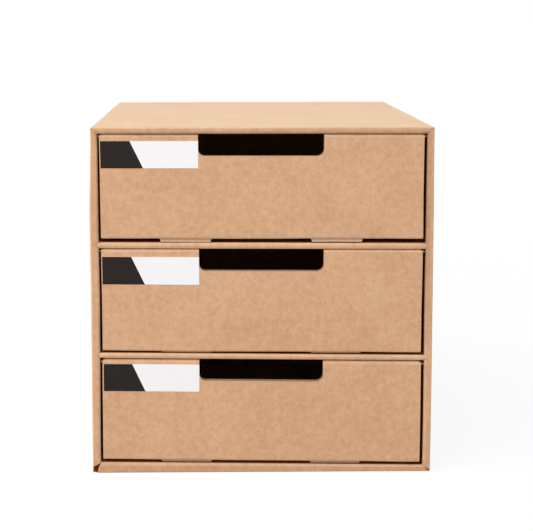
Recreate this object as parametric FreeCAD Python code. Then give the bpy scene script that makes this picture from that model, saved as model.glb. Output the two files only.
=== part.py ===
import FreeCAD, Part
import os
from FreeCAD import Vector

# Three-drawer desk file box of folded corrugated board.
# Millimetres. X to the right, Y from the front to the back, Z up.
# The origin is the centre of the underside.

os.makedirs("parts", exist_ok=True)

# Case
case_width = 255.0
case_depth = 335.0
case_height = 260.0

# Board and folding
board = 2.1                    # thickness of the corrugated board
ply_gap = 0.15                 # air between two boards that lie on each other
mitre_gap = 0.4                # open line where two rolled front edges meet
seam_opening = 3.2             # wider opening of the mitre at the glued corner
top_liner_depth = 70.0         # how far the top edge is rolled in
glue_flap_height = 32.0        # flap that closes the wrap, inside the left wall
back_flap_depth = 28.0         # flaps that hold the back panel

# Shelves
shelf_height = 4.6             # over both plies
shelf_setback = 0.3            # shelf edge behind the front rim
shelf_tip = 2.6                # pointed end of the shelf edge, let into the rim
slot_end_margin = 18.0         # uncut board behind each tongue slot, in the side walls
lower_bay = 79.8               # clear height of the bottom bay
middle_bay = 79.6              # clear height of the middle bay

# Drawers
front_setback = 0.5            # drawer front behind the rim
side_clearance = 1.75          # beside each drawer
top_clearance = 0.8            # above each drawer front
lift = {"bottom": 2.2, "middle": 1.5, "top": 2.4}   # underside of the tray above its floor
rear_clearance = 2.5           # behind each drawer
wall_drop = 4.0                # tray sides below the top of the front
front_corner_radius = 2.5      # upper corners of the front
dust_flap_length = 35.0        # flaps that turn in from the sides
dust_flap_relief = 3.0         # flap below the rolled side edge
notch_width = 91.6
notch_depth = 15.2
notch_radius = 5.0
tab_offset = 56.0              # centre of each lock tab from the middle of the notch
tab_width = 39.6
tab_taper = 1.4                # each tab end slants in by this much
tab_gap = 0.3                  # lock tabs above the floor they run on
die_shift = -0.6               # notch and lock tabs beside the middle of the tray

# Labels
label_width = 71.6
label_height = 20.8
label_thickness = 0.2
label_side_margin = 0.65
label_top_margin = {"bottom": 3.0, "middle": 5.8, "top": 4.9}   # stuck on by hand

# Derived planes and layers
half_width = case_width / 2
front_y = -case_depth / 2
back_y = case_depth / 2
layer = board + ply_gap                          # one board and the air behind it
double_wall = board + layer                      # two boards
triple_wall = board + 2 * layer                  # three boards
bay_half_width = half_width - triple_wall
bay_floor = triple_wall
bay_ceiling = case_height - double_wall
back_inner_y = back_y - board
slot_height = shelf_height + 2 * ply_gap
tongue_half_width = half_width - layer - ply_gap
stiffener_end_y = back_inner_y - back_flap_depth - ply_gap
slot_end_y = stiffener_end_y - slot_end_margin


def box(x, y, z):
    """Box between the given pairs of coordinates."""
    corner = Vector(x[0], y[0], z[0])
    return Part.makeBox(x[1] - x[0], y[1] - y[0], z[1] - z[0], corner)


def face_of(points):
    """Flat face inside straight edges."""
    return Part.Face(Part.makePolygon(points + points[:1]))


def folded_board(creases):
    """Section of a board folded along a line of inner creases, rounded on the outside."""
    steps = [(end - start).normalize() for start, end in zip(creases, creases[1:])]
    turn = 1 if steps[0].cross(steps[1]).z > 0 else -1
    outward = [Vector(step.y, -step.x, 0) * (turn * board) for step in steps]
    edges = [Part.makeLine(start, end) for start, end in zip(creases, creases[1:])]
    edges.append(Part.makeLine(creases[-1], creases[-1] + outward[-1]))
    for i in range(len(steps) - 1, -1, -1):
        edges.append(Part.makeLine(creases[i + 1] + outward[i], creases[i] + outward[i]))
        if i > 0:
            middle = (outward[i] + outward[i - 1]).normalize() * board
            ends = [creases[i] + outward[i], creases[i] + middle, creases[i] + outward[i - 1]]
            edges.append(Part.Arc(*ends).toShape())
    edges.append(Part.makeLine(creases[0] + outward[0], creases[0]))
    return Part.Face(Part.Wire(edges))


def section_xz(points, y):
    """Folded section given as (x, z) creases, standing at one y."""
    flat = folded_board([Vector(x, z, 0) for x, z in points])
    flat.rotate(Vector(0, 0, 0), Vector(1, 0, 0), 90)
    flat.translate(Vector(0, y, 0))
    return flat


def section_yz(points, x):
    """Folded section given as (y, z) creases, standing at one x."""
    flat = folded_board([Vector(y, z, 0) for y, z in points])
    flat.rotate(Vector(0, 0, 0), Vector(1, 1, 1), 120)
    flat.translate(Vector(x, 0, 0))
    return flat


def section_xy(points, z):
    """Folded section given as (x, y) creases, lying at one z."""
    flat = folded_board([Vector(x, y, 0) for x, y in points])
    flat.translate(Vector(0, 0, z))
    return flat


def prism_xz(points, y):
    """Straight-edged outline in (x, z), extruded between two y values."""
    face = face_of([Vector(x, y[0], z) for x, z in points])
    return face.extrude(Vector(0, y[1] - y[0], 0))


def mirrored(shape):
    """The shape on the other side of the YZ plane."""
    return shape.mirror(Vector(0, 0, 0), Vector(1, 0, 0))


def fused(first, others):
    """One solid from pieces of the same sheet."""
    return first.fuse(others).removeSplitter()


def edges_along_y(block, z):
    """Edges of a block that run from front to back at one height."""
    level = [edge for edge in block.Edges if abs(edge.CenterOfMass.z - z) < ply_gap]
    return [edge for edge in level if edge.BoundBox.XLength < ply_gap]


# ---------------------------------------------------------------- case

def wrap_tube():
    """Outer ply: glue flap, bottom, right side, top and left side in one strip."""
    inner = half_width - board
    flap_inner = half_width - 2 * board - ply_gap
    creases = [(-flap_inner, glue_flap_height), (-flap_inner, board), (inner, board)]
    creases += [(inner, case_height - board), (-inner, case_height - board), (-inner, 0)]
    section = section_xz(creases, front_y + board)
    return section.extrude(Vector(0, case_depth - board, 0))


def rolled_edge(rim, liner_depth, length):
    """Front edge turned in: a bit of outer ply, the rim strip and the liner, built at the bottom."""
    fold_y = front_y + board
    creases = [(fold_y + board, board), (fold_y, board)]
    creases += [(fold_y, rim - board), (front_y + liner_depth, rim - board)]
    return section_yz(creases, -length / 2).extrude(Vector(length, 0, 0))


def mitred(edge, outline):
    """Rolled edge cut to its share of the front frame, open by the mitre gap."""
    wide = prism_xz(outline, (front_y, back_y))
    return edge.common(wide)


def front_frame():
    """The four rolled edges: bottom, right, top and left."""
    liner = case_depth - layer
    half = mitre_gap / 2
    w, h, rim, top = half_width, case_height, triple_wall, double_wall
    bottom = rolled_edge(rim, liner, case_width)
    bottom = mitred(bottom, [(half - w, 0), (w - half, 0), (w - rim - half, rim), (rim - w + half, rim)])

    upper = rolled_edge(top, top_liner_depth, case_width)
    upper.rotate(Vector(0, 0, 0), Vector(0, 1, 0), 180)
    upper.translate(Vector(0, 0, h))
    upper = mitred(upper, [(half - w, h), (w - half, h),
                           (w - rim - half, h - top), (rim - w + half, h - top)])

    side = rolled_edge(rim, liner, case_height)
    side.rotate(Vector(0, 0, 0), Vector(0, 1, 0), -90)
    side.translate(Vector(w, 0, h / 2))
    side = mitred(side, [(w, half), (w, h - half), (w - rim, h - top - half), (w - rim, rim + half)])
    side = side.cut(rim_notches() + tongue_slots())
    return [bottom, upper, side, mirrored(side)]


def shelf_floors():
    """Underside of the lower and of the upper shelf."""
    lower = bay_floor + lower_bay
    return [lower, lower + shelf_height + middle_bay]


def rim_notches():
    """Cutters for the pointed notches that take the shelf edges, in the right rim strip."""
    cutters = []
    for floor in shelf_floors():
        low = floor - ply_gap
        high = low + slot_height
        tip = (bay_half_width + shelf_tip + ply_gap, (low + high) / 2)
        outline = [(bay_half_width, low), tip, (bay_half_width, high)]
        cutters.append(prism_xz(outline, (front_y, front_y + layer)))
    return cutters


def tongue_slots():
    """Cutters for the slots that take the shelf tongues, in the right liner and stiffener."""
    x = (bay_half_width, half_width - layer)
    y = (front_y + board, slot_end_y)
    return [box(x, y, (floor - ply_gap, floor - ply_gap + slot_height)) for floor in shelf_floors()]


def rounded_case(y):
    """The outline of the case with its rounded long edges, between two y values, as a block to keep."""
    block = box((-half_width, half_width), y, (0, case_height))
    return block.makeFillet(board, edges_along_y(block, 0) + edges_along_y(block, case_height))


def seam_corner():
    """Cutter that opens the mitre at the glued bottom left corner towards its outer end."""
    outline = [(-bay_half_width, bay_floor), (-half_width, seam_opening), (-half_width, 0)]
    outline += [(seam_opening - half_width, 0)]
    return prism_xz(outline, (front_y, front_y + layer))


def case_wrap():
    """The whole wrap: outer tube with its rolled and mitred front."""
    frame = [edge.common(rounded_case((front_y, back_y))) for edge in front_frame()]
    return fused(wrap_tube(), frame).cut(seam_corner())


def back_panel():
    """Rear board with four flaps turned forward between the plies."""
    side_x = half_width - layer
    inner_x = side_x - board
    low = layer + board
    high = case_height - layer - board
    across = section_xy([(-inner_x, back_inner_y - back_flap_depth), (-inner_x, back_inner_y),
                         (inner_x, back_inner_y), (inner_x, back_inner_y - back_flap_depth)], triple_wall)
    across = across.extrude(Vector(0, 0, case_height - triple_wall - double_wall))
    up = section_yz([(back_inner_y - back_flap_depth, low), (back_inner_y, low),
                     (back_inner_y, high), (back_inner_y - back_flap_depth, high)], -bay_half_width)
    up = up.extrude(Vector(2 * bay_half_width, 0, 0))
    past_glue_flap = box((-half_width, 2 * layer - half_width), (front_y, back_y),
                         (0, glue_flap_height + ply_gap))
    return fused(across, [up]).cut(past_glue_flap)


def side_stiffener():
    """Slotted board inside the right wall."""
    x = (half_width - layer - board, half_width - layer)
    y = (front_y + layer, stiffener_end_y)
    z = (bay_floor + ply_gap, bay_ceiling - ply_gap)
    return box(x, y, z).cut(tongue_slots())


def left_stiffener():
    """Mirrored board, shortened above the glue flap."""
    reach = glue_flap_height + ply_gap
    plate = mirrored(side_stiffener())
    return plate.cut(box((-half_width, 0), (front_y, back_y), (0, reach)))


def base_stiffener():
    """Flat board inside the bottom."""
    left = -(half_width - 2 * layer)
    right = half_width - layer
    return box((left, right), (front_y + layer, stiffener_end_y), (layer, layer + board))


def shelf(floor):
    """Double board folded at the front, with side tongues and a pointed front edge."""
    edge_y = front_y + shelf_setback
    end_y = back_inner_y - ply_gap
    fold_y = edge_y + board
    creases = [(end_y, floor + board), (fold_y, floor + board)]
    creases += [(fold_y, floor + shelf_height - board), (end_y, floor + shelf_height - board)]
    sheet = section_yz(creases, -tongue_half_width).extrude(Vector(2 * tongue_half_width, 0, 0))
    middle = floor + shelf_height / 2
    tip = bay_half_width + shelf_tip
    outline = [(-tip, middle), (-bay_half_width, floor), (bay_half_width, floor), (tip, middle)]
    outline += [(bay_half_width, floor + shelf_height), (-bay_half_width, floor + shelf_height)]
    edge = prism_xz(outline, (edge_y, front_y + layer))
    behind = box((-half_width, half_width), (front_y + layer, slot_end_y - ply_gap),
                 (floor, floor + shelf_height))
    rear_half = bay_half_width - ply_gap
    rear = box((-rear_half, rear_half), (edge_y, end_y), (floor, floor + shelf_height))
    return sheet.common(fused(edge, [behind, rear]))


# ---------------------------------------------------------------- drawers

def tray_plan():
    """Half width and front and rear planes that all trays share."""
    return bay_half_width - side_clearance, front_y + front_setback, back_inner_y - rear_clearance


def tray_tub(low, side_top):
    """Bottom and rolled double sides, between the rolled ends."""
    half, front, rear = tray_plan()
    outer = half - board
    liner = half - double_wall + board
    creases = [(-liner, low + layer), (-liner, side_top - board), (-outer, side_top - board)]
    creases += [(-outer, low + board), (outer, low + board), (outer, side_top - board)]
    creases += [(liner, side_top - board), (liner, low + layer)]
    section = section_xz(creases, front + 2 * layer)
    return section.extrude(Vector(0, rear - front - 4 * layer, 0))


def rolled_front(low, top):
    """Front of the tray: outer ply, rolled top edge and inner ply."""
    half, front, _ = tray_plan()
    fold = front + board
    liner = front + 2 * layer
    creases = [(liner, low + board), (fold, low + board), (fold, top - board)]
    creases += [(liner, top - board), (liner, low + layer)]
    sheet = section_yz(creases, -half).extrude(Vector(2 * half, 0, 0))
    past_side = box((half - double_wall - ply_gap, half), (liner, liner + board), (low + board, top))
    return sheet.cut([past_side, mirrored(past_side)])


def turned_round(sheet):
    """The same end at the rear of the tray."""
    _, front, rear = tray_plan()
    turned = sheet.copy()
    turned.rotate(Vector(0, (front + rear) / 2, 0), Vector(0, 0, 1), 180)
    return turned


def dust_flap(low, side_top):
    """Flap that turns in from the right side behind the front."""
    half, front, _ = tray_plan()
    inner = half - board
    crease_y = front + layer + board
    overlap_y = crease_y + 4 * board
    creases = [(inner, overlap_y), (inner, crease_y), (half - dust_flap_length, crease_y)]
    section = section_xy(creases[::-1], low + layer)
    return section.extrude(Vector(0, 0, side_top - dust_flap_relief - low - layer))


def roll_end_slits(side_top):
    """Slits that free the rolled side edges from the back, one at each rear corner."""
    half, _, rear = tray_plan()
    end_y = rear - 2 * layer
    relief_z = side_top - dust_flap_relief
    slit = box((half - double_wall, half), (end_y - ply_gap, end_y), (relief_z, side_top))
    return [slit, mirrored(slit)]


def tab_centres():
    """Middles of the two lock tabs."""
    return die_shift - tab_offset, die_shift + tab_offset


def lock_tabs(floor, low, y):
    """Two slanted tabs that pass through the bottom between two y values, down to the floor they run on."""
    tip_z = floor + tab_gap
    root_z = low + layer + board
    tabs = []
    for centre in tab_centres():
        left = centre - tab_width / 2
        right = centre + tab_width / 2
        outline = [(left, root_z), (left, low + board), (left + tab_taper, tip_z)]
        outline += [(right - tab_taper, tip_z), (right, low + board), (right, root_z)]
        tabs.append(prism_xz(outline, y))
    return tabs


def tab_slots(low, y):
    """Slots in the bottom for the lock tabs."""
    slots = []
    for centre in tab_centres():
        reach = tab_width / 2 + ply_gap
        slots.append(box((centre - reach, centre + reach), y, (low - board, low + layer)))
    return slots


def finger_notch(top):
    """Cutter for the notch in the top edge of the front, with rounded lower corners."""
    _, front, _ = tray_plan()
    x = (die_shift - notch_width / 2, die_shift + notch_width / 2)
    block = box(x, (front - board, front + 4 * layer), (top - notch_depth, top + notch_depth))
    return block.makeFillet(notch_radius, edges_along_y(block, top - notch_depth))


def rounded_front(low, top):
    """Outline of a front with its two rounded upper corners, as a block to keep."""
    half, front, rear = tray_plan()
    block = box((-half, half), (front - board, rear + board), (low - board, top))
    return block.makeFillet(front_corner_radius, edges_along_y(block, top))


def tray(floor, low, top):
    """A whole drawer sheet."""
    _, front, rear = tray_plan()
    side_top = top - wall_drop
    end = rolled_front(low, top).common(rounded_front(low, top))
    back_end = turned_round(rolled_front(low, side_top))
    flap = dust_flap(low, side_top)
    flaps = [flap, mirrored(flap), turned_round(flap), turned_round(mirrored(flap))]
    liner_y = (rear - 2 * layer - board, rear - 2 * layer)
    back_tabs = lock_tabs(floor, low, liner_y)
    slot_y = (front + layer - ply_gap, front + 2 * layer)
    back_slot_y = (liner_y[0] - ply_gap, liner_y[1] + ply_gap)
    sheet = fused(tray_tub(low, side_top), [end, back_end] + flaps)
    sheet = sheet.cut(roll_end_slits(side_top) + [finger_notch(top)])
    sheet = sheet.cut(tab_slots(low, slot_y) + tab_slots(low, back_slot_y))
    return fused(sheet, back_tabs)


def lock_board(floor, low, top):
    """Board inside the rolled front, with the notch and two lock tabs."""
    half, front, _ = tray_plan()
    reach = half - dust_flap_length - 2 * ply_gap
    y = (front + layer, front + layer + board)
    plate = box((-reach, reach), y, (low + layer, top - layer))
    return fused(plate, lock_tabs(floor, low, y)).cut(finger_notch(top))


def label(name, top):
    """Paper label on the upper left of the named drawer's front."""
    half, front, _ = tray_plan()
    left = label_side_margin - half
    x = (left, left + label_width)
    z_top = top - label_top_margin[name]
    return box(x, (front - label_thickness, front), (z_top - label_height, z_top))


def bays():
    """Floor and ceiling of each bay, with the name of its drawer."""
    lower, upper = shelf_floors()
    return [("bottom", bay_floor, lower),
            ("middle", lower + shelf_height, upper),
            ("top", upper + shelf_height, bay_ceiling)]


def all_parts():
    """Every piece of board and paper by its name."""
    lower, upper = shelf_floors()
    parts = {
        "case_wrap": case_wrap(),
        "back_panel": back_panel(),
        "left_stiffener": left_stiffener(),
        "right_stiffener": side_stiffener(),
        "base_stiffener": base_stiffener(),
        "lower_shelf": shelf(lower),
        "upper_shelf": shelf(upper),
    }
    for name, floor, ceiling in bays():
        low = floor + lift[name]
        top = ceiling - top_clearance
        parts[name + "_drawer_tray"] = tray(floor, low, top)
        parts[name + "_drawer_lock_board"] = lock_board(floor, low, top)
        parts[name + "_drawer_label"] = label(name, top)
    return parts


for node, shape in all_parts().items():
    shape.exportStep("parts/" + node + ".step")
    print(node, shape.ShapeType, len(shape.Solids), round(shape.Volume), shape.isValid())
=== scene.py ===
from math import cos, pi, radians, sin

import bmesh
import bpy
from mathutils import Color, Matrix, Vector, noise
from mathutils.bvhtree import BVHTree


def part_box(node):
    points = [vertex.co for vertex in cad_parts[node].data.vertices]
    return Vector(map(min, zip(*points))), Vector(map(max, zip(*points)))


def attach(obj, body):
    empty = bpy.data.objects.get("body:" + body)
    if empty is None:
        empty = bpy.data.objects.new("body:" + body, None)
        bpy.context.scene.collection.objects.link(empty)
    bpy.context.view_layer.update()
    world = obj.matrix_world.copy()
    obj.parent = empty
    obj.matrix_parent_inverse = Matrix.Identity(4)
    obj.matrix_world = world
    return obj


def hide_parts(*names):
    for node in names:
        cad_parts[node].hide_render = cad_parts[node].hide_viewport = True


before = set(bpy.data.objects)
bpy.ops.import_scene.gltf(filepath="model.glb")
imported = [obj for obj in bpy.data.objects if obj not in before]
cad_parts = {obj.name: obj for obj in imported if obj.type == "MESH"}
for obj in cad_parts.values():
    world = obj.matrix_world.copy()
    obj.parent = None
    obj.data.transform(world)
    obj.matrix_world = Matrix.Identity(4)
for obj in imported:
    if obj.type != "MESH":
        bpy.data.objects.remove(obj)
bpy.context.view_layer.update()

bl_info = {
    "name": "Three-Drawer Kraft File Box",
    "version": (1, 0, 0),
    "blender": (4, 5, 0),
    "location": "View3D > Sidebar > File Box",
    "description": "Dresses a folded corrugated file box with its paper, cut edges and labels",
    "category": "Object",
}

# Everything is in metres: X to the right, Y from the front to the back, Z up.
X, Y, Z = range(3)
ALONG = (Vector((1, 0, 0)), Vector((0, 1, 0)), Vector((0, 0, 1)))
DRAWERS = ("bottom", "middle", "top")
CASE_LOW, CASE_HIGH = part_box("case_wrap")
BASE_LOW, BASE_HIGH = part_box("base_stiffener")
BOARD = BASE_HIGH.z - BASE_LOW.z             # thickness of one corrugated board
PLY_GAP = BASE_LOW.z - BOARD                 # air between two boards that lie on each other
BAY = CASE_HIGH.x - 3 * BOARD - 2 * PLY_GAP  # half the width of the bays
TOUCH = 1e-5                                 # two points this close are the same one
SHARP = radians(30)                          # an edge that turns less than this is rolled


# ------------------------------------------------------------ what a user would change

class BoardSettings(bpy.types.PropertyGroup):
    """The corrugated board: how it is built up and how true it lies."""

    liner: bpy.props.FloatProperty(
        name="Liner", description="Thickness of each paper liner",
        default=0.00028, min=0.0001, max=0.0006, unit="LENGTH", precision=5)
    flute_pitch: bpy.props.FloatProperty(
        name="Flute pitch", description="Distance from one wave of the medium to the next",
        default=0.0034, min=0.002, max=0.01, unit="LENGTH", precision=5)
    flute_depth: bpy.props.FloatProperty(
        name="Flute depth", description="How far one looks into the open flutes",
        default=0.0022, min=0.0005, max=0.01, unit="LENGTH", precision=5)
    grid: bpy.props.FloatProperty(
        name="Grid", description="Distance between the cuts that let a panel bow",
        default=0.012, min=0.004, max=0.05, unit="LENGTH", precision=4)
    bow: bpy.props.FloatProperty(
        name="Bow", description="How far the boards of the case may stray from flat",
        default=0.0004, min=0.0, max=0.001, unit="LENGTH", precision=5)
    drawer_bow: bpy.props.FloatProperty(
        name="Drawer bow", description="How far the sheets of a drawer may stray from flat",
        default=0.0007, min=0.0, max=0.002, unit="LENGTH", precision=5)


class PaperSettings(bpy.types.PropertyGroup):
    """The colours of the paper and of its print."""

    kraft: bpy.props.FloatVectorProperty(
        name="Kraft", description="Outside of the board",
        default=(0.835, 0.650, 0.495), size=3, min=0, max=1, subtype="COLOR_GAMMA")
    # Inside: a darker copy of the kraft, painted shade for the bays and gaps where little light
    # reaches.
    inside: bpy.props.FloatVectorProperty(
        name="Inside", description="Liner inside the bays, which light hardly reaches",
        default=(0.64, 0.38, 0.21), size=3, min=0, max=1, subtype="COLOR_GAMMA")
    grey_kraft: bpy.props.FloatVectorProperty(
        name="Grey kraft", description="Stiffeners and lock boards",
        default=(0.79, 0.65, 0.52), size=3, min=0, max=1, subtype="COLOR_GAMMA")
    cut_edge: bpy.props.FloatVectorProperty(
        name="Cut edge", description="Freshly cut board",
        default=(0.88, 0.72, 0.57), size=3, min=0, max=1, subtype="COLOR_GAMMA")
    medium: bpy.props.FloatVectorProperty(
        name="Medium", description="Waved paper between the liners",
        default=(0.66, 0.50, 0.37), size=3, min=0, max=1, subtype="COLOR_GAMMA")
    label: bpy.props.FloatVectorProperty(
        name="Label", description="White paper of the labels",
        default=(0.972, 0.962, 0.966), size=3, min=0, max=1, subtype="COLOR_GAMMA")
    ink: bpy.props.FloatVectorProperty(
        name="Ink", description="Black print of the labels",
        default=(0.145, 0.12, 0.105), size=3, min=0, max=1, subtype="COLOR_GAMMA")


class StudioSettings(bpy.types.PropertyGroup):
    """Camera and lamps of the studio."""

    lens: bpy.props.FloatProperty(
        name="Lens", description="Focal length in millimetres", default=103.3, min=20, max=300)
    shift: bpy.props.FloatVectorProperty(
        name="Shift", description="Lens shift to the right and up, as shares of the frame's width",
        default=(0.05, -0.05), size=2)
    camera_place: bpy.props.FloatVectorProperty(
        name="Camera", description="Place of the camera",
        default=(-0.0325, -1.2823, 0.3397), size=3, subtype="TRANSLATION")
    camera_yaw: bpy.props.FloatProperty(
        name="Yaw", description="Camera turned to the right",
        default=radians(0.838), subtype="ANGLE")
    camera_pitch: bpy.props.FloatProperty(
        name="Pitch", description="Camera turned down",
        default=radians(8.265), subtype="ANGLE")
    camera_roll: bpy.props.FloatProperty(
        name="Roll", description="Camera rolled",
        default=radians(-0.05), subtype="ANGLE")
    room: bpy.props.FloatProperty(
        name="Room light", description="Strength of the even light from all round",
        default=0.71, min=0, max=3)
    key: bpy.props.FloatProperty(
        name="Key lamp", description="Power of the soft lamp above",
        default=31.0, min=0, max=200, unit="POWER")
    floor: bpy.props.FloatVectorProperty(
        name="Floor", description="Colour of the floor",
        default=(0.97, 0.97, 0.965), size=3, min=0, max=1, subtype="COLOR_GAMMA")


def board():
    """The user's settings of the board."""
    return bpy.context.scene.file_box_board


def paper():
    """The user's colours of the paper."""
    return bpy.context.scene.file_box_paper


# ------------------------------------------------------------ shader building

# Steps from a paper's own colour, and tints that it is multiplied by.
PULP_DARKER, PULP_PALER = (-0.040, -0.046, -0.048), (0.030, 0.034, 0.036)
CUT_DARKER, CUT_PALER = (-0.10, -0.11, -0.11), (0.02, 0.02, 0.02)
LABEL_DARKER = (-0.012, -0.012, -0.012)
INK_DARKER, INK_PALER = (-0.02, -0.02, -0.02), (0.03, 0.03, 0.03)
# Paler step for the painted highlights on the folds.
FOLD_HIGHLIGHT_STEP = (0.07, 0.09, 0.10)
FLECK_TINT = (0.62, 0.52, 0.45)
# Tint of the painted shade on the front frame and in the seam.
PAINTED_SHADE_TINT = (0.6, 0.498, 0.408)
SHEEN_COLOUR = (1.0, 0.98, 0.86)

CLOUDS, GRAIN, FIBRES, CHIPS = 26, 230, 2100, 270  # how many of each there are in about a metre
KRAFT_RELIEF, CUT_RELIEF, LABEL_RELIEF = 0.00006, 0.00008, 0.00001  # depth of the paper's grain


def shade(colour, step=(0, 0, 0), times=(1, 1, 1)):
    """A shade of a display colour, as the four linear numbers that a shader takes."""
    parts = [part * factor + change for part, factor, change in zip(colour, times, step)]
    return (*Color(parts).from_srgb_to_scene_linear(), 1.0)


def place(tree, kind, **values):
    """A node of the given kind with its properties or unlinked inputs set."""
    node = tree.nodes.new("ShaderNode" + kind)
    for name, value in values.items():
        if hasattr(node, name):
            setattr(node, name, value)
        else:
            node.inputs[name.replace("_", " ")].default_value = value
    return node


def math_node(tree, operation, first, second=None):
    """Arithmetic on sockets or plain numbers."""
    node = place(tree, "Math", operation=operation)
    for slot, value in enumerate((first, second)):
        if isinstance(value, (int, float)):
            node.inputs[slot].default_value = value
        elif value is not None:
            tree.links.new(value, node.inputs[slot])
    return node.outputs[0]


def weighed(tree, first, first_share, second, second_share):
    """Two values added up, each with its own share."""
    return math_node(tree, "ADD", math_node(tree, "MULTIPLY", first, first_share),
                     math_node(tree, "MULTIPLY", second, second_share))


def remap(tree, value, low, high, to_low=0.0, to_high=1.0):
    """A mask stretched from one range to another and held at its ends."""
    node = place(tree, "MapRange", clamp=True)
    ends = (("From Min", low), ("From Max", high), ("To Min", to_low), ("To Max", to_high))
    for name, number in ends:
        node.inputs[name].default_value = number
    tree.links.new(value, node.inputs["Value"])
    return node.outputs["Result"]


def blend(tree, factor, first, second):
    """Two colours mixed by a mask."""
    node = place(tree, "Mix", data_type="RGBA")
    for name, value in (("Factor_Float", factor), ("A_Color", first), ("B_Color", second)):
        socket = next(s for s in node.inputs if s.identifier == name)
        if isinstance(value, bpy.types.NodeSocket):
            tree.links.new(value, socket)
        else:
            socket.default_value = value
    return next(s for s in node.outputs if s.identifier == "Result_Color")


def new_group(name, inputs, outputs):
    """An empty node group with its sockets and its two end nodes."""
    tree = bpy.data.node_groups.new(name, "ShaderNodeTree")
    for direction, sockets in (("INPUT", inputs), ("OUTPUT", outputs)):
        for label, kind, default in sockets:
            socket = tree.interface.new_socket(
                label, in_out=direction, socket_type="NodeSocket" + kind)
            if default is not None:
                socket.default_value = default
    return tree, tree.nodes.new("NodeGroupInput"), tree.nodes.new("NodeGroupOutput")


def use_group(tree, group, **values):
    """A placed node group with its own values."""
    node = tree.nodes.new("ShaderNodeGroup")
    node.node_tree = group
    for name, value in values.items():
        if isinstance(value, bpy.types.NodeSocket):
            tree.links.new(value, node.inputs[name])
        else:
            node.inputs[name].default_value = value
    return node


def cloud(tree, vector, scale, detail, roughness, stretch=None, distortion=0.0):
    """Noise value, on coordinates that may be stretched along one axis."""
    if stretch:
        mapping = place(tree, "Mapping", Scale=stretch)
        tree.links.new(vector, mapping.inputs["Vector"])
        vector = mapping.outputs["Vector"]
    node = place(tree, "TexNoise", Scale=scale, Detail=detail, Roughness=roughness,
                 Distortion=distortion)
    tree.links.new(vector, node.inputs["Vector"])
    return node.outputs["Fac"]


def paper_pulp():
    """Shared pattern of kraft paper: how the pulp clouds, its fibres and its flecks."""
    tree, start, end = new_group(
        "paper_pulp",
        [("Vector", "Vector", None), ("Fineness", "Float", 1.0)],
        [("Cloud", "Float", None), ("Fibre", "Float", None), ("Fleck", "Float", None),
         ("Height", "Float", None)])
    scaled = place(tree, "VectorMath", operation="SCALE")
    tree.links.new(start.outputs["Vector"], scaled.inputs[0])
    tree.links.new(start.outputs["Fineness"], scaled.inputs["Scale"])
    vector = scaled.outputs[0]

    coarse = cloud(tree, vector, CLOUDS, 3, 0.62)
    fine = cloud(tree, vector, GRAIN, 4, 0.75)
    clouds = weighed(tree, coarse, 0.3, fine, 0.7)
    tree.links.new(remap(tree, clouds, 0.36, 0.64), end.inputs["Cloud"])

    strands = None
    for stretch in ((0.16, 1, 1), (1, 0.16, 1), (1, 1, 0.16)):
        strand = cloud(tree, vector, FIBRES, 2, 0.55, stretch, 0.6)
        strands = strand if strands is None else math_node(tree, "ADD", strands, strand)
    fibre = remap(tree, math_node(tree, "DIVIDE", strands, 3), 0.38, 0.62)
    tree.links.new(fibre, end.inputs["Fibre"])

    chips = place(tree, "TexVoronoi", feature="F1", Scale=CHIPS, Randomness=1.0)
    tree.links.new(vector, chips.inputs["Vector"])
    close = remap(tree, chips.outputs["Distance"], 0.05, 0.16, 1.0, 0.0)
    pick = place(tree, "SeparateColor")
    tree.links.new(chips.outputs["Color"], pick.inputs[0])
    rare = remap(tree, pick.outputs[0], 0.86, 0.88)
    tree.links.new(math_node(tree, "MULTIPLY", close, rare), end.inputs["Fleck"])

    tree.links.new(weighed(tree, fibre, 0.6, fine, 0.8), end.inputs["Height"])
    return tree


def flute_lines():
    """Shared pattern of the waved medium that presses through the liner, as a height."""
    tree, start, end = new_group(
        "flute_lines",
        [("Along", "Float", 0.0), ("Pitch", "Float", 0.0034)],
        [("Height", "Float", None)])
    turns = math_node(tree, "DIVIDE", start.outputs["Along"], start.outputs["Pitch"])
    wave = math_node(tree, "SINE", math_node(tree, "MULTIPLY", turns, 2 * pi))
    tree.links.new(remap(tree, wave, -1, 1), end.inputs["Height"])
    return tree


def new_material(name):
    """An empty material: its tree, its Principled shader and its object coordinates."""
    material = bpy.data.materials.new(name)
    material.use_nodes = True
    tree = material.node_tree
    tree.nodes.clear()
    output = tree.nodes.new("ShaderNodeOutputMaterial")
    shader = tree.nodes.new("ShaderNodeBsdfPrincipled")
    tree.links.new(shader.outputs[0], output.inputs["Surface"])
    return tree, shader, tree.nodes.new("ShaderNodeTexCoord").outputs["Object"]


def bump(tree, shader, height, depth):
    """Height into the shader's normal."""
    node = place(tree, "Bump", Strength=1.0, Distance=depth)
    tree.links.new(height, node.inputs["Height"])
    tree.links.new(node.outputs[0], shader.inputs["Normal"])


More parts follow.
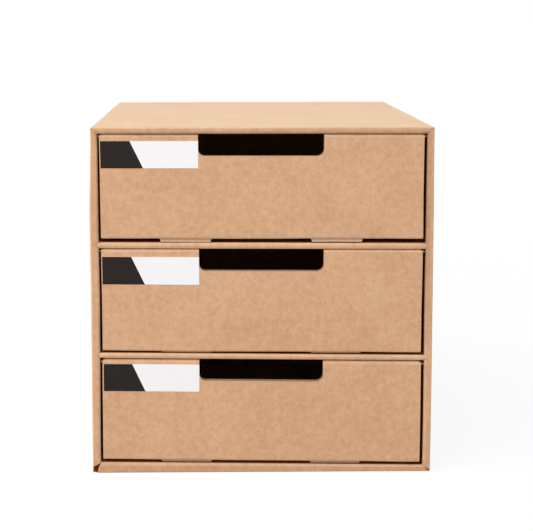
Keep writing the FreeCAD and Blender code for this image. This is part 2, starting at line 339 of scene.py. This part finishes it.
def kraft_liner(name, colour, pulp, lines, contrast=1.0, sheen=0.45):
    """Unbleached liner: clouded pulp, fibres, flecks, painted highlights on folds, painted shade,
    faint flute lines.
    """
    tree, shader, where = new_material(name)
    pattern = use_group(tree, pulp, Vector=where)
    dark = shade(colour, [part * contrast for part in PULP_DARKER])
    pale = shade(colour, [part * contrast for part in PULP_PALER])
    body = blend(tree, pattern.outputs["Cloud"], dark, pale)
    fibres = remap(tree, pattern.outputs["Fibre"], 0.0, 1.0, 0.90, 1.08)
    shaded = place(tree, "VectorMath", operation="SCALE")
    tree.links.new(body, shaded.inputs[0])
    tree.links.new(fibres, shaded.inputs["Scale"])
    flecks = math_node(tree, "MULTIPLY", pattern.outputs["Fleck"], 0.55)
    body = blend(tree, flecks, shaded.outputs[0], shade(colour, times=FLECK_TINT))

    # Painted highlight: the rounded folds made paler, as where light catches them.
    fold = place(tree, "Attribute", attribute_name="fold").outputs["Fac"]
    patches = remap(tree, pattern.outputs["Cloud"], 0.2, 0.9, 0.12, 0.34)
    highlight_share = math_node(tree, "MULTIPLY", fold, patches)
    body = blend(tree, highlight_share, body, shade(colour, FOLD_HIGHLIGHT_STEP))
    # Painted shade: the front frame darkened beside and above the drawers, at its foot and in the
    # seam.
    painted_shade = place(tree, "Attribute", attribute_name="painted_shade").outputs["Fac"]
    patches = remap(tree, pattern.outputs["Cloud"], 0, 1, 0.95, 0.78)
    painted_shade = math_node(tree, "MULTIPLY", math_node(tree, "POWER", painted_shade, 2), patches)
    body = blend(tree, painted_shade, body, shade(colour, times=PAINTED_SHADE_TINT))
    tree.links.new(body, shader.inputs["Base Color"])

    rough = remap(tree, pattern.outputs["Fibre"], 0, 1, 0.56, 0.74)
    tree.links.new(rough, shader.inputs["Roughness"])
    shader.inputs["Sheen Weight"].default_value = sheen
    shader.inputs["Specular IOR Level"].default_value = sheen
    shader.inputs["Sheen Roughness"].default_value = 0.5
    shader.inputs["Sheen Tint"].default_value = shade(SHEEN_COLOUR)

    separate = place(tree, "SeparateXYZ")
    tree.links.new(where, separate.inputs[0])
    flutes = use_group(tree, lines, Along=separate.outputs["X"], Pitch=board().flute_pitch)
    height = weighed(tree, pattern.outputs["Height"], 0.5, flutes.outputs["Height"], 0.35)
    bump(tree, shader, height, KRAFT_RELIEF)


def cut_board(name, colour, pulp):
    """Cut paper: paler, dull and torn into short fibres."""
    tree, shader, where = new_material(name)
    pattern = use_group(tree, pulp, Vector=where, Fineness=2.2)
    dark, pale = shade(colour, CUT_DARKER), shade(colour, CUT_PALER)
    body = blend(tree, pattern.outputs["Fibre"], dark, pale)
    tree.links.new(body, shader.inputs["Base Color"])
    shader.inputs["Roughness"].default_value = 0.85
    bump(tree, shader, pattern.outputs["Height"], CUT_RELIEF)


def label_paper(pulp):
    """Smooth white paper with a black field, told apart by the face's print value."""
    tree, shader, where = new_material("label_print")
    pattern = use_group(tree, pulp, Vector=where, Fineness=1.6)
    white, black = paper().label, paper().ink
    bare = blend(tree, pattern.outputs["Cloud"], shade(white, LABEL_DARKER), shade(white))
    ink = blend(tree, pattern.outputs["Fibre"], shade(black, INK_DARKER), shade(black, INK_PALER))
    printed = place(tree, "Attribute", attribute_name="print").outputs["Fac"]
    tree.links.new(blend(tree, printed, bare, ink), shader.inputs["Base Color"])
    tree.links.new(remap(tree, printed, 0, 1, 0.42, 0.55), shader.inputs["Roughness"])
    shader.inputs["Specular IOR Level"].default_value = 0.15
    bump(tree, shader, pattern.outputs["Height"], LABEL_RELIEF)


def finishes():
    """Every material of the object by its name, made once."""
    if "kraft_liner" not in bpy.data.materials:
        pulp, lines = paper_pulp(), flute_lines()
        kraft_liner("kraft_liner", paper().kraft, pulp, lines)
        # A darker copy of the kraft without sheen: painted shade for the faces inside the bays.
        kraft_liner("kraft_inside_painted_shade", paper().inside, pulp, lines, 0.8, 0.0)
        kraft_liner("grey_kraft_liner", paper().grey_kraft, pulp, lines, 0.8)
        cut_board("cut_liner", paper().cut_edge, pulp)
        cut_board("waved_medium", paper().medium, pulp)
        label_paper(pulp)
    return bpy.data.materials


# ------------------------------------------------------------ folds, notches and tabs

LINER, CUT, MEDIUM, INSIDE_SHADE = range(4)  # material slots of a sheet
CREASE = 0.5                # radius of a hard crease, as a share of a plain bend's
FOLD_WIDTH = BOARD / 2      # the faces that round a fold are narrower than this
FOLD_LENGTH = 2 * BOARD     # and longer than this
LEFT_HIGHLIGHT = 9.0           # the left edge, lit from the left, gets this much more painted highlight than the other folds

NOTCH_DEPTH, NOTCH_RADIUS, NOTCH_REACH = 0.0152, 0.005, 0.047
NOTCH_WIDENED = 1.012       # factor on the width of the notch
NOTCH_PRESSED = {"bottom": 0.0002, "middle": 0.001, "top": 0.0008}  # how far its foot moves down
FRONT_DEPTH = 5 * BOARD     # the rolled front of a drawer ends before this

TAB_SHOWN = {"bottom": 0.0019, "middle": 0.0012, "top": 0.0021}  # how far they stand out below
TAB_BENT = {"bottom": Vector((0, 0.0007, -0.00022)), "middle": Vector((0, 0.0012, -0.00022)),
            "top": Vector((0, -0.0014, -0.00022))}  # how far their tips move


def held(value):
    """The value, held between 0 and 1."""
    return min(1, max(0, value))


def cut_at(sheet, spot, normal):
    """Cuts every face where it crosses a plane."""
    geometry = sheet.verts[:] + sheet.edges[:] + sheet.faces[:]
    bmesh.ops.bisect_plane(sheet, geom=geometry, dist=TOUCH, plane_co=spot, plane_no=normal)


def merged_copy(node):
    """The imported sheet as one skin, with its flat faces whole again."""
    sheet = bmesh.new()
    sheet.from_mesh(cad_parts[node].data)
    for face in sheet.faces:
        face.material_index = LINER
    bmesh.ops.remove_doubles(sheet, verts=sheet.verts, dist=TOUCH / 10)
    bmesh.ops.dissolve_limit(sheet, angle_limit=radians(0.5), verts=sheet.verts,
                             edges=sheet.edges)
    return sheet


def split_corners(sheet):
    """Cuts the wrap at its corners, so that each straight edge is a face of its own."""
    for axis in (X, Z):
        for spot in (CASE_LOW + ALONG[axis] * BOARD, CASE_HIGH - ALONG[axis] * BOARD):
            cut_at(sheet, spot, ALONG[axis])


def sharpen_folds(sheet):
    """Creases the folds of the front frame harder than a plain bend."""
    for vert in sheet.verts:
        depth = vert.co.y - CASE_LOW.y
        for axis in (X, Z):
            for edge in (CASE_LOW[axis], CASE_HIGH[axis]):
                if depth < BOARD + TOUCH and abs(vert.co[axis] - edge) < BOARD + TOUCH:
                    vert.co.y = CASE_LOW.y + depth * CREASE
                    vert.co[axis] = edge + (vert.co[axis] - edge) * CREASE


def mark_folds(sheet):
    """Marks the narrow faces that round a fold, where a pale highlight is painted."""
    fold = sheet.faces.layers.float.new("fold")
    for face in sheet.faces:
        sides = sorted(edge.calc_length() for edge in face.edges)
        if len(face.verts) <= 4 and sides[0] < FOLD_WIDTH and sides[-1] > FOLD_LENGTH:
            at_left = face.calc_center_median().x < CASE_LOW.x + BOARD
            face[fold] = LEFT_HIGHLIGHT if at_left and abs(face.normal.z) < 0.3 else 1.0


def press_notch(sheet, drawer):
    """Sets the foot of the finger notch lower and its sides wider, as hands press it open."""
    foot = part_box(drawer + "_drawer_tray")[1].z - NOTCH_DEPTH
    for vert in sheet.verts:
        at_front = vert.co.y < CASE_LOW.y + FRONT_DEPTH
        if at_front and vert.co.z > foot - TOUCH and abs(vert.co.x) < NOTCH_REACH:
            vert.co.x *= NOTCH_WIDENED
            if vert.co.z < foot + NOTCH_RADIUS + TOUCH:
                vert.co.z -= NOTCH_PRESSED[drawer]


def bend_tabs(sheet, drawer):
    """Bends the lock tabs down onto the board they run on, and forward or back at their tips."""
    shown = TAB_SHOWN[drawer]
    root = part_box(drawer + "_drawer_lock_board")[0].z + shown
    cut_at(sheet, ALONG[Z] * root, ALONG[Z])
    for vert in sheet.verts:
        vert.co += TAB_BENT[drawer] * max(0.0, (root - vert.co.z) / shown)


# ------------------------------------------------------------ open flutes in the cut edges

THROUGH = 1.4 * BOARD       # a face with more board than this behind it is a cut one
STRIP_WIDTH = (0.75 * BOARD, 1.15 * BOARD)  # a strip of cut faces as wide as the board is thick
STRIP_AREA = 4 * BOARD ** 2  # a smaller strip keeps its plain edge
STRIP_ROLLED = 0.3          # share of a strip's rim that may be rolled
SQUARE_ON = 0.9             # from this on, a direction counts as lying along an axis
STRAIGHT = 0.99             # from this on, it lies along it all but exactly
OBLONG = 0.9                # share of its length times width that an oblong face fills
RUN_WIDTH = (0.8 * BOARD, 1.2 * BOARD)  # a waved strip lies in a channel of this width
SHORTEST_RUN = 3            # waves in the shortest strip of medium that is laid
WAVE_STEPS = 8              # straight pieces in one wave of the medium


def inner_points(sheet):
    """For every face, the middle of its largest triangle, which surely lies on the face."""
    largest = {}
    for corners in sheet.calc_loop_triangles():
        a, b, c = (corner.vert.co for corner in corners)
        area = (b - a).cross(c - a).length
        face = corners[0].face
        if area > largest.get(face, (0, None))[0]:
            largest[face] = (area, (a + b + c) / 3)
    return {face: middle for face, (_, middle) in largest.items()}


def cut_faces(sheet):
    """Faces where the board was cut through: there the paper goes on behind them."""
    tree = BVHTree.FromBMesh(sheet)
    found = []
    for face, middle in inner_points(sheet).items():
        depth = tree.ray_cast(middle - face.normal * TOUCH, -face.normal)[3]
        if depth is None or depth > THROUGH:
            found.append(face)
    return found


def islands(faces):
    """Groups of the given faces that join each other along their edges."""
    left, groups = set(faces), []
    for first in faces:
        if first in left:
            left.remove(first)
            group = [first]
            for face in group:
                for other in (other for edge in face.edges for other in edge.link_faces):
                    if other in left:
                        left.remove(other)
                        group.append(other)
            groups.append(group)
    return groups


def is_board_edge(group):
    """Whether cut faces make one long strip, as wide as the board and sharp at its sides."""
    whole = set(group)
    rim = [edge for face in group for edge in face.edges if not whole.issuperset(edge.link_faces)]
    around = sum(edge.calc_length() for edge in rim)
    rolled = sum(edge.calc_length() for edge in rim if edge.calc_face_angle(pi) < SHARP)
    area = sum(face.calc_area() for face in group)
    right_width = STRIP_WIDTH[0] < 2 * area / around < STRIP_WIDTH[1]
    return right_width and area > STRIP_AREA and rolled < STRIP_ROLLED * around


def wave_run(face):
    """Start, run, swing and depth of the waved strip in a cut face, or None where it has none."""
    longest = max(face.edges, key=lambda edge: edge.calc_length())
    along = (longest.verts[1].co - longest.verts[0].co).normalized()
    across = face.normal.cross(along)
    runs = [vert.co.dot(along) for vert in face.verts]
    swings = [vert.co.dot(across) for vert in face.verts]
    length, width = max(runs) - min(runs), max(swings) - min(swings)
    flat_end = abs(face.normal.z) > SQUARE_ON and abs(along.x) > SQUARE_ON
    crossed = abs(face.normal.y) > SQUARE_ON or flat_end
    oblong = face.calc_area() > OBLONG * length * width and max(map(abs, along)) > STRAIGHT
    one_board = RUN_WIDTH[0] < width < RUN_WIDTH[1]
    long_enough = length >= SHORTEST_RUN * board().flute_pitch
    if not (crossed and oblong and one_board and long_enough):
        return None
    wall = board().liner
    middle = (max(swings) + min(swings)) / 2
    level = face.normal * face.verts[0].co.dot(face.normal)
    start = along * (min(runs) + wall) + across * middle + level
    return start, along * (length - 2 * wall), across * (width / 2 - wall), -face.normal


def hold_sharp_corners(faces):
    """Puts back the inset points that ran away from a corner too sharp for an even wall."""
    inner = {vert for face in faces for vert in face.verts}
    for vert in inner:
        beside = [edge.other_vert(vert) for edge in vert.link_edges]
        outer = [other for other in beside if other not in inner]
        if outer and (vert.co - outer[0].co).length > 2 * board().liner:
            vert.co = outer[0].co


def open_flutes(sheet, faces, skin):
    """Turns cut faces into two liner edges and an open channel, inside the uncut skin."""
    for face in faces:
        face.material_index = CUT
    bmesh.ops.inset_region(sheet, faces=faces, thickness=board().liner, use_even_offset=True,
                           use_boundary=True)
    hold_sharp_corners(faces)
    for face in faces:
        face.material_index = MEDIUM
    grown = bmesh.ops.extrude_face_region(sheet, geom=faces)["geom"]
    inward = {}
    for face in grown:
        if isinstance(face, bmesh.types.BMFace):
            for vert in face.verts:
                inward[vert] = inward.get(vert, Vector()) - face.normal
    for vert, way in inward.items():
        way.normalize()
        room = skin.ray_cast(vert.co + way * TOUCH, way)[3] or BOARD
        vert.co += way * min(board().flute_depth, max(0, room - board().liner))
    for vert in inward:
        for face in vert.link_faces:
            face.material_index = MEDIUM


def lay_medium(sheet, start, run, swing, inward):
    """Stands a waved strip in an open channel."""
    waves = round(run.length / board().flute_pitch)
    recess = board().liner / 2
    reach = board().flute_depth - recess
    strip = bmesh.ops.create_grid(
        sheet, x_segments=waves * WAVE_STEPS, y_segments=1, size=0.5)["verts"]
    for vert in strip:
        travel, depth = vert.co.x + 0.5, recess + (vert.co.y + 0.5) * reach
        wave = sin(2 * pi * waves * travel)
        vert.co = start + run * travel + swing * wave + inward * depth
    faces = list(dict.fromkeys(face for vert in strip for face in vert.link_faces))
    thick = bmesh.ops.solidify(sheet, geom=faces, thickness=board().liner / 2)["geom"]
    faces += [part for part in thick if isinstance(part, bmesh.types.BMFace)]
    whole = list(dict.fromkeys(faces))
    for face in whole:
        face.material_index = MEDIUM
    bmesh.ops.recalc_face_normals(sheet, faces=whole)


# ------------------------------------------------------------ painted shade: the inside, the front frame and the seam

RIM_DEPTH = 1.3 * BOARD     # how far back the front frame's folded rim reaches
WALL_SKIN = 1.1 * BOARD     # closer to the outside than this, a face belongs to the outside
RIM_START = -0.1            # where the rim starts, in widths of the rim
# Strength of the painted shade beside the drawers on the right and left, above them, at the foot
# and along the base.
SHADE_RIGHT, SHADE_LEFT, SHADE_TOP, SHADE_FOOT, SHADE_BASE = 0.86, 0.2, 0.6, 1.1, 0.4
SHADE_FULL_FROM = 0.16            # above this height the right side has its full painted shade
FOOT_HEIGHT = 0.6 * BOARD   # painted shade at the foot reaches up to here
SEAM_DEPTH = 3 * BOARD      # how far back the open mitre is seen
SEAM_SKIN = 0.0003          # this close to the outside, the paper keeps its colour


def paint_inside_shade(sheet):
    """Gives the faces that lie inside the case, behind its front edges, a darker paper: painted
    shade.
    """
    for face in sheet.faces:
        middle = face.calc_center_median()
        walls = min(middle.x - CASE_LOW.x, CASE_HIGH.x - middle.x, middle.z - CASE_LOW.z,
                    CASE_HIGH.z - middle.z, CASE_HIGH.y - middle.y)
        behind_rim = middle.y - CASE_LOW.y > RIM_DEPTH
        if face.material_index == LINER and walls > WALL_SKIN and behind_rim:
            face.material_index = INSIDE_SHADE


def paint_rim_shade(sheet):
    """Marks painted shade on the front frame: beside and above the drawers, and at its foot."""
    painted_shade = sheet.verts.layers.float.new("painted_shade")
    side_rim, top_rim = CASE_HIGH.x - BAY, 2 * BOARD + PLY_GAP
    for vert in sheet.verts:
        if vert.co.y - CASE_LOW.y < RIM_DEPTH:
            height = vert.co.z - CASE_LOW.z
            right, left = (vert.co.x - BAY) / side_rim, (-BAY - vert.co.x) / side_rim
            above = 1 - (CASE_HIGH.z - vert.co.z) / top_rim
            near_right = held(1 - right) * (right > RIM_START) * min(1, height / SHADE_FULL_FROM)
            near_left = held(1 - 2 * left) * (left > RIM_START)
            near_top = held(1 - above / 2) * (above > RIM_START)
            near_foot = max(0, 1 - height / FOOT_HEIGHT)
            at_base = height < side_rim + TOUCH
            vert[painted_shade] = max(SHADE_RIGHT * near_right, SHADE_LEFT * near_left,
                             SHADE_TOP * near_top, SHADE_FOOT * near_foot, SHADE_BASE * at_base)


def shade_seam(sheet):
    """Gives the open mitre at the glued corner the darker inside paper and full painted shade in
    its depth.
    """
    fold = sheet.faces.layers.float["fold"]
    painted_shade = sheet.verts.layers.float["painted_shade"]
    rim, seam = CASE_HIGH.x - BAY, set()
    for face in sheet.faces:
        way = face.calc_center_median() - CASE_LOW
        at_corner = max(way.x, way.z) < rim and way.y < SEAM_DEPTH and min(way) > SEAM_SKIN
        if at_corner and not face[fold]:
            face.material_index = INSIDE_SHADE
            seam.add(face)
    for vert in sheet.verts:
        if vert.link_faces and seam.issuperset(vert.link_faces):
            vert[painted_shade] = 1.0


# ------------------------------------------------------------ the bow and lean of a handled box

# How far the walls have moved to the right. Each row gives a wall's place and its moves at HEIGHTS.
HEIGHTS = (0.02, 0.13, 0.2, 0.25)
WALLS = ((-0.1275, (0.0004, 0.0008, 0.0006, 0.0019)),
         (-0.1209, (-0.0001, 0.0008, 0.0005, 0.0003)),
         (-0.1191, (-0.0001, 0.0006, 0.0001, -0.0002)),
         (0.1191, (0.0004, 0.0002, 0.0003, 0.0004)),
         (0.1209, (0.0009, 0.0006, 0.0006, 0.0005)),
         (0.1275, (-0.0001, -0.0001, -0.0005, -0.001)))
# By height: how much higher the right end of a shelf or front stands than its middle.
SLOPE = ((0.0, 0.0), (0.0066, -0.0017), (0.09, -0.0014), (0.175, -0.0006), (0.255, -0.0002),
         (0.26, 0.0))
# By height: how far everything at that height has moved up.
RISE = ((0.0, 0.0), (0.0066, -0.0002), (0.0088, -0.0006), (0.084, -0.0002), (0.0856, 0.0004),
        (0.0864, 0.0003), (0.091, -0.0002), (0.0925, -0.0005), (0.1698, -0.0002),
        (0.1706, -0.0005), (0.2548, -0.0002), (0.2557, -0.0004), (0.26, 0.0))

DRIFT_FINENESS, DRIFT_SHARE = 11, 0.75    # slow bow of a panel, and how much it counts
RIPPLE_FINENESS, RIPPLE_SHARE = 34, 0.3   # the smaller bow on top of it
BOW_SEED = 1                              # the same number gives the same bow in every run


def between(table, spot):
    """The value at a spot, read straight between the two nearest rows of a table."""
    for (first, low), (second, high) in zip(table, table[1:]):
        if spot <= second:
            return low + (high - low) * max(0, (spot - first) / (second - first))
    return table[-1][1]


def lean(place_of):
    """How far a point of the handled box has strayed sideways and up."""
    height = place_of.z - CASE_LOW.z
    walls = [(wall, between(list(zip(HEIGHTS, moves)), height)) for wall, moves in WALLS]
    slope, rise = between(SLOPE, height), between(RISE, height)
    return Vector((between(walls, place_of.x), 0, rise + slope * place_of.x / BAY))


def slice_grid(sheet):
    """Cuts the skin along a grid, so that wide panels can bow."""
    for axis in range(3):
        count = int((CASE_HIGH[axis] - CASE_LOW[axis]) / board().grid)
        for step in range(1, count):
            spot = CASE_LOW + (CASE_HIGH - CASE_LOW) * (step / count)
            cut_at(sheet, spot, ALONG[axis])


def settle(sheet, drawer=None):
    """Bows the board towards the middle of the case's foot or of a drawer's top, and leans it."""
    low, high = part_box(drawer + "_drawer_tray") if drawer else (CASE_LOW, CASE_HIGH)
    seed = float(DRAWERS.index(drawer) + 1) if drawer else 0.0
    bow = board().drawer_bow if drawer else board().bow
    middle = Vector(((low.x + high.x) / 2, (low.y + high.y) / 2, high.z if drawer else low.z))
    reach = Vector((high.x - middle.x, high.y - middle.y, high.z - low.z))
    noise.seed_set(BOW_SEED)
    for vert in sheet.verts:
        drift = noise.noise_vector(vert.co * DRIFT_FINENESS + Vector((seed, 0, 0)))
        ripple = noise.noise_vector(vert.co * RIPPLE_FINENESS + Vector((0, seed, 0)))
        for axis in range(3):
            share = (vert.co[axis] - middle[axis]) / reach[axis]
            pull = held(0.5 + DRIFT_SHARE * drift[axis] + RIPPLE_SHARE * ripple[axis])
            vert.co[axis] -= share * pull * bow
        vert.co += lean(vert.co)


# ------------------------------------------------------------ finished pieces

LABEL_TRIM = {"top": (0, 0, 0.0007), "bottom": (0.0003, 0, 0)}  # cut from the left and the foot
FIELD_TOP, FIELD_FOOT = 0.301, 0.439  # shares of the label that are black at its top and its foot


def as_piece(sheet, name, body, nodes, materials):
    """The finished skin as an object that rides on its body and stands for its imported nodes."""
    for face in sheet.faces:
        face.smooth = True
    for edge in sheet.edges:
        edge.smooth = edge.is_manifold and edge.calc_face_angle(pi) < SHARP
    mesh = bpy.data.meshes.new(name)
    sheet.to_mesh(mesh)
    sheet.free()
    for left_over in ("custom_normal", "sharp_face"):
        if left_over in mesh.attributes:
            mesh.attributes.remove(mesh.attributes[left_over])
    for material in materials:
        mesh.materials.append(finishes()[material])
    piece = bpy.data.objects.new(name, mesh)
    bpy.context.scene.collection.objects.link(piece)
    flat = piece.modifiers.new("flat_panels", "WEIGHTED_NORMAL")
    flat.keep_sharp = True
    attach(piece, body)
    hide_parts(*nodes)


def dress_board(node, liner="kraft_liner", drawer=None, cut=True):
    """A packed sheet of board with open flutes where it is cut, painted highlights on its folds and
    a slight bow.
    """
    is_wrap = node == "case_wrap"
    sheet = merged_copy(node)
    if is_wrap:
        split_corners(sheet)
    if drawer:
        press_notch(sheet, drawer)
    mark_folds(sheet)
    edges = [group for group in islands(cut_faces(sheet)) if is_board_edge(group)] if cut else []
    runs = [wave_run(face) for group in edges for face in group]
    skin = BVHTree.FromBMesh(sheet)
    for group in edges:
        open_flutes(sheet, group, skin)
    if is_wrap:
        sharpen_folds(sheet)
    slice_grid(sheet)
    if not drawer:
        paint_inside_shade(sheet)
        paint_rim_shade(sheet)
    if is_wrap:
        shade_seam(sheet)
    for run in filter(None, runs):
        lay_medium(sheet, *run)
    if node.endswith("lock_board"):
        bend_tabs(sheet, drawer)
    settle(sheet, drawer)
    body = drawer + "_drawer" if drawer else "case"
    papers = (liner, "cut_liner", "waved_medium", "kraft_inside_painted_shade")
    as_piece(sheet, node + "_sheet", body, [node], papers)


def dress_label(drawer):
    """The paper label of one drawer, with its slanted black field."""
    node = drawer + "_drawer_label"
    low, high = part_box(node)
    size = high - low
    top = low + Vector((size.x * FIELD_TOP, 0, size.z))
    foot = low + Vector((size.x * FIELD_FOOT, 0, 0))
    low += Vector(LABEL_TRIM.get(drawer, (0, 0, 0)))
    sheet = bmesh.new()
    bmesh.ops.create_cube(sheet, size=1.0)
    bmesh.ops.scale(sheet, verts=sheet.verts, vec=high - low)
    bmesh.ops.translate(sheet, verts=sheet.verts, vec=(low + high) / 2)
    slant = (top - foot).cross(ALONG[Y]).normalized()
    cut_at(sheet, foot, slant)
    ink = sheet.faces.layers.float.new("print")
    for face in sheet.faces:
        in_field = (face.calc_center_median() - foot).dot(slant) > 0
        face[ink] = float(in_field and face.normal.y < -SQUARE_ON)
    slice_grid(sheet)
    settle(sheet, drawer)
    as_piece(sheet, node + "_print", drawer + "_drawer", [node], ["label_print"])


# ------------------------------------------------------------ operators

class FILEBOX_OT_case(bpy.types.Operator):
    """Dress the outer wrap and the back panel"""

    bl_idname = "file_box.case"
    bl_label = "Case"

    def execute(self, context):
        for node in ("case_wrap", "back_panel"):
            dress_board(node)
        return {"FINISHED"}


class FILEBOX_OT_shelves(bpy.types.Operator):
    """Dress the two shelves between the drawers"""

    bl_idname = "file_box.shelves"
    bl_label = "Shelves"

    def execute(self, context):
        for node in ("lower_shelf", "upper_shelf"):
            dress_board(node, cut=False)
        return {"FINISHED"}


class FILEBOX_OT_stiffeners(bpy.types.Operator):
    """Dress the boards inside the walls"""

    bl_idname = "file_box.stiffeners"
    bl_label = "Stiffeners"

    def execute(self, context):
        for node in ("left_stiffener", "right_stiffener", "base_stiffener"):
            dress_board(node, "grey_kraft_liner")
        return {"FINISHED"}


class FILEBOX_OT_trays(bpy.types.Operator):
    """Dress the three folded drawer trays"""

    bl_idname = "file_box.trays"
    bl_label = "Drawer trays"

    def execute(self, context):
        for drawer in DRAWERS:
            dress_board(drawer + "_drawer_tray", drawer=drawer)
        return {"FINISHED"}


class FILEBOX_OT_lock_boards(bpy.types.Operator):
    """Dress the boards that lock the rolled fronts"""

    bl_idname = "file_box.lock_boards"
    bl_label = "Lock boards"

    def execute(self, context):
        for drawer in DRAWERS:
            node = drawer + "_drawer_lock_board"
            dress_board(node, "grey_kraft_liner", drawer)
        return {"FINISHED"}


class FILEBOX_OT_labels(bpy.types.Operator):
    """Print the paper labels of the drawer fronts"""

    bl_idname = "file_box.labels"
    bl_label = "Labels"

    def execute(self, context):
        for drawer in DRAWERS:
            dress_label(drawer)
        return {"FINISHED"}


# ------------------------------------------------------------ studio

FLOOR_REACH = 30.0
FLOOR_GLOW = 0.88                  # share of plain white in the floor, as the camera sees it
FLOOR_BOUNCE = (0.81, 0.81, 0.81)  # colour of the floor as the box sees it
FLOOR_FADE = (0.35, 1.2)           # between these distances the floor turns to plain white
KEY_PLACE = Vector((-0.93, -0.87, 1.72))
KEY_SIZE = 1.6


def studio_floor(colour):
    """A wide pale floor under the box, which keeps its shadow."""
    sheet = bmesh.new()
    bmesh.ops.create_grid(sheet, x_segments=1, y_segments=1, size=FLOOR_REACH)
    mesh = bpy.data.meshes.new("studio_floor")
    sheet.to_mesh(mesh)
    sheet.free()
    floor = bpy.data.objects.new("studio_floor", mesh)
    floor.location.z = CASE_LOW.z
    bpy.context.scene.collection.objects.link(floor)

    tree, shader, where = new_material("studio_paper")
    shader.inputs["Roughness"].default_value = 0.9
    glow = place(tree, "Emission", Strength=1.0)
    mixed = place(tree, "MixShader")
    output = next(node for node in tree.nodes if node.type == "OUTPUT_MATERIAL")
    seen = place(tree, "LightPath").outputs["Is Camera Ray"]
    body = blend(tree, seen, shade(FLOOR_BOUNCE), shade(colour))
    tree.links.new(body, shader.inputs["Base Color"])
    away = place(tree, "VectorMath", operation="LENGTH")
    tree.links.new(where, away.inputs[0])
    share = remap(tree, away.outputs["Value"], *FLOOR_FADE, FLOOR_GLOW, 1.0)
    tree.links.new(math_node(tree, "MULTIPLY", seen, share), mixed.inputs[0])
    tree.links.new(shader.outputs[0], mixed.inputs[1])
    tree.links.new(glow.outputs[0], mixed.inputs[2])
    tree.links.new(mixed.outputs[0], output.inputs["Surface"])
    mesh.materials.append(bpy.data.materials["studio_paper"])


def studio_room(strength):
    """Even light from all round, seen as plain white."""
    world = bpy.data.worlds.new("studio_room")
    world.use_nodes = True
    tree = world.node_tree
    tree.nodes.clear()
    output = place(tree, "OutputWorld")
    background = place(tree, "Background", Color=(1, 1, 1, 1))
    ray = place(tree, "LightPath").outputs
    seen = math_node(tree, "MAXIMUM", ray["Is Camera Ray"], ray["Is Transmission Ray"])
    seen = math_node(tree, "MAXIMUM", seen, ray["Is Glossy Ray"])
    tree.links.new(remap(tree, seen, 0, 1, strength, 1.0), background.inputs["Strength"])
    tree.links.new(background.outputs[0], output.inputs["Surface"])
    bpy.context.scene.world = world


def studio_lamp(name, place_of, size, power):
    """A soft square lamp that looks at the middle of the box."""
    lamp = bpy.data.lights.new(name, "AREA")
    lamp.shape = "SQUARE"
    lamp.size = size
    lamp.energy = power
    holder = bpy.data.objects.new(name, lamp)
    holder.location = place_of
    middle = (CASE_LOW + CASE_HIGH) / 2
    holder.rotation_euler = (middle - holder.location).to_track_quat("-Z", "Y").to_euler()
    bpy.context.scene.collection.objects.link(holder)


def studio_camera(studio):
    """The camera, level and upright apart from its small roll."""
    yaw, pitch, roll = studio.camera_yaw, studio.camera_pitch, studio.camera_roll
    ahead = Vector((sin(yaw) * cos(pitch), cos(yaw) * cos(pitch), -sin(pitch)))
    right = Vector((cos(yaw), -sin(yaw), 0))
    up = right.cross(ahead)
    side = right * cos(roll) + up * sin(roll)
    top = up * cos(roll) - right * sin(roll)
    turn = Matrix((side, top, -ahead)).transposed().to_4x4()
    lens = bpy.data.cameras.new("studio_camera")
    lens.lens = studio.lens
    lens.shift_x, lens.shift_y = studio.shift
    camera = bpy.data.objects.new("studio_camera", lens)
    camera.matrix_world = Matrix.Translation(studio.camera_place) @ turn
    bpy.context.scene.collection.objects.link(camera)
    bpy.context.scene.camera = camera


class FILEBOX_OT_studio(bpy.types.Operator):
    """Set up the floor, the light and the camera"""

    bl_idname = "file_box.studio"
    bl_label = "Studio"

    def execute(self, context):
        studio = context.scene.file_box_studio
        context.scene.view_settings.view_transform = "Standard"
        studio_floor(studio.floor)
        studio_room(studio.room)
        studio_lamp("key_lamp", KEY_PLACE, KEY_SIZE, studio.key)
        studio_camera(studio)
        return {"FINISHED"}


# ------------------------------------------------------------ panel and start

class FILEBOX_PT_pieces(bpy.types.Panel):
    """Everything that can be made, in the order of making"""

    bl_label = "File Box"
    bl_space_type = "VIEW_3D"
    bl_region_type = "UI"
    bl_category = "File Box"

    def draw(self, context):
        for settings in SETTINGS:
            group = getattr(context.scene, settings)
            column = self.layout.column(align=True)
            for name in group.bl_rna.properties.keys():
                if name not in ("rna_type", "name"):
                    column.prop(group, name)
        for operator in OPERATORS:
            self.layout.operator(operator.bl_idname)


SETTINGS = {"file_box_board": BoardSettings, "file_box_paper": PaperSettings,
            "file_box_studio": StudioSettings}
OPERATORS = (FILEBOX_OT_case, FILEBOX_OT_shelves, FILEBOX_OT_stiffeners, FILEBOX_OT_trays,
             FILEBOX_OT_lock_boards, FILEBOX_OT_labels, FILEBOX_OT_studio)


def register():
    """Makes the settings, the operators and the panel known to Blender."""
    for kind in (*SETTINGS.values(), *OPERATORS, FILEBOX_PT_pieces):
        bpy.utils.register_class(kind)
    for name, kind in SETTINGS.items():
        setattr(bpy.types.Scene, name, bpy.props.PointerProperty(type=kind))


def unregister():
    """Takes them away again."""
    for name in SETTINGS:
        delattr(bpy.types.Scene, name)
    for kind in (FILEBOX_PT_pieces, *OPERATORS, *SETTINGS.values()):
        bpy.utils.unregister_class(kind)


def main():
    """Makes every piece and the studio."""
    register()
    for operator in OPERATORS:
        getattr(bpy.ops.file_box, operator.bl_idname.split(".")[1])()


if __name__ == "__main__":
    main()
